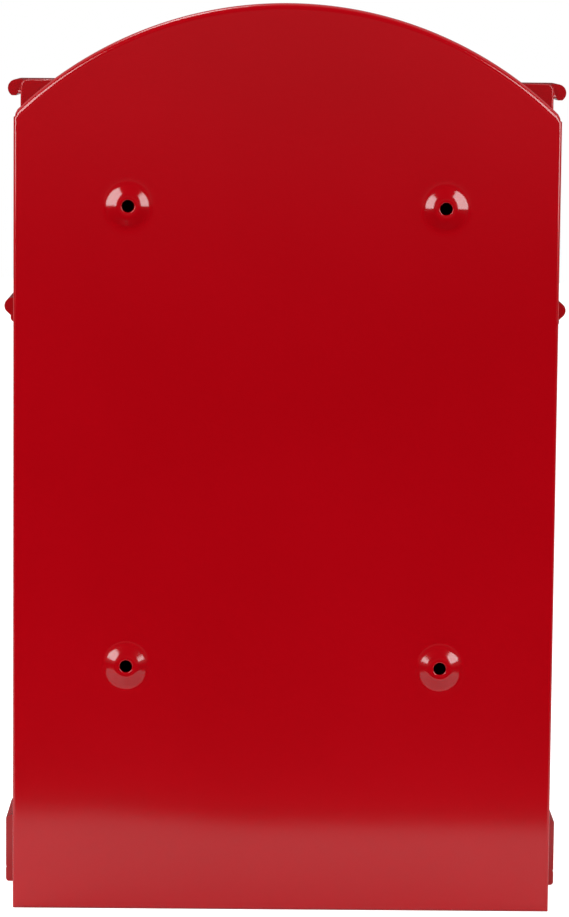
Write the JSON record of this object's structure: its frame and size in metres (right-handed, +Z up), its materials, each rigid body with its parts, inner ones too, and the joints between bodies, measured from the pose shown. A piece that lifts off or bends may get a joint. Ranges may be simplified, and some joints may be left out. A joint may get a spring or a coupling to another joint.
{
  "type": "wall mounted post box",
  "caption": "Arch topped steel post box for a wall, with a cast moulded front, letter slot with inner flap and a lockable hinged door.",
  "frame": {"origin": "centre of the four fixing holes in the back, on the plane where their bosses touch the wall", "axes": "+Z up, +Y into the wall, the front faces -Y, +X to the right as seen from the front"},
  "size_m": [0.2558, 0.1032, 0.4053],
  "materials": {
    "red_paint": "gloss red enamel",
    "zinc_steel": "bright zinc plate",
    "lock_chrome": "polished chrome plate",
    "black_rubber": "matt moulded rubber"
  },
  "bodies": {
    "box": {"back_shell": "red_paint", "front_casting": "red_paint", "casting_screws": "zinc_steel", "casting_washers": "zinc_steel", "door_bumpers": "black_rubber", "flap_rod": "zinc_steel", "rod_clip_left": "zinc_steel", "rod_clip_right": "zinc_steel", "frame_leaf_screws": "zinc_steel", "hinge_frame_leaf_upper": "red_paint", "hinge_frame_leaf_lower": "red_paint", "hinge_pin_upper": "zinc_steel", "hinge_pin_lower": "zinc_steel"},
    "door": {"door_panel": "red_paint", "hinge_door_leaf_upper": "red_paint", "hinge_door_leaf_lower": "red_paint", "door_leaf_screws": "zinc_steel", "lock_housing": "lock_chrome", "lock_washer": "zinc_steel", "lock_nut": "zinc_steel"},
    "lock": {"lock_plug": "lock_chrome", "lock_cam": "zinc_steel", "cam_washer": "zinc_steel", "cam_screw": "zinc_steel"},
    "flap": {"letter_flap": "red_paint", "flap_bumpers": "black_rubber"}
  },
  "joints": [
    {"name": "door_hinge", "type": "hinge", "parent": "box", "child": "door", "pos_m": [-0.095, -0.0954, -0.0635], "axis": [0, 0, -1], "range_deg": [0, 110]},
    {"name": "lock_turn", "type": "hinge", "parent": "door", "child": "lock", "pos_m": [0.072, -0.087, -0.062], "axis": [0, -1, 0], "range_deg": [0, 90]},
    {"name": "flap_hinge", "type": "hinge", "parent": "box", "child": "flap", "pos_m": [0, -0.084, 0.12], "axis": [1, 0, 0], "range_deg": [0, 70]}
  ]
}
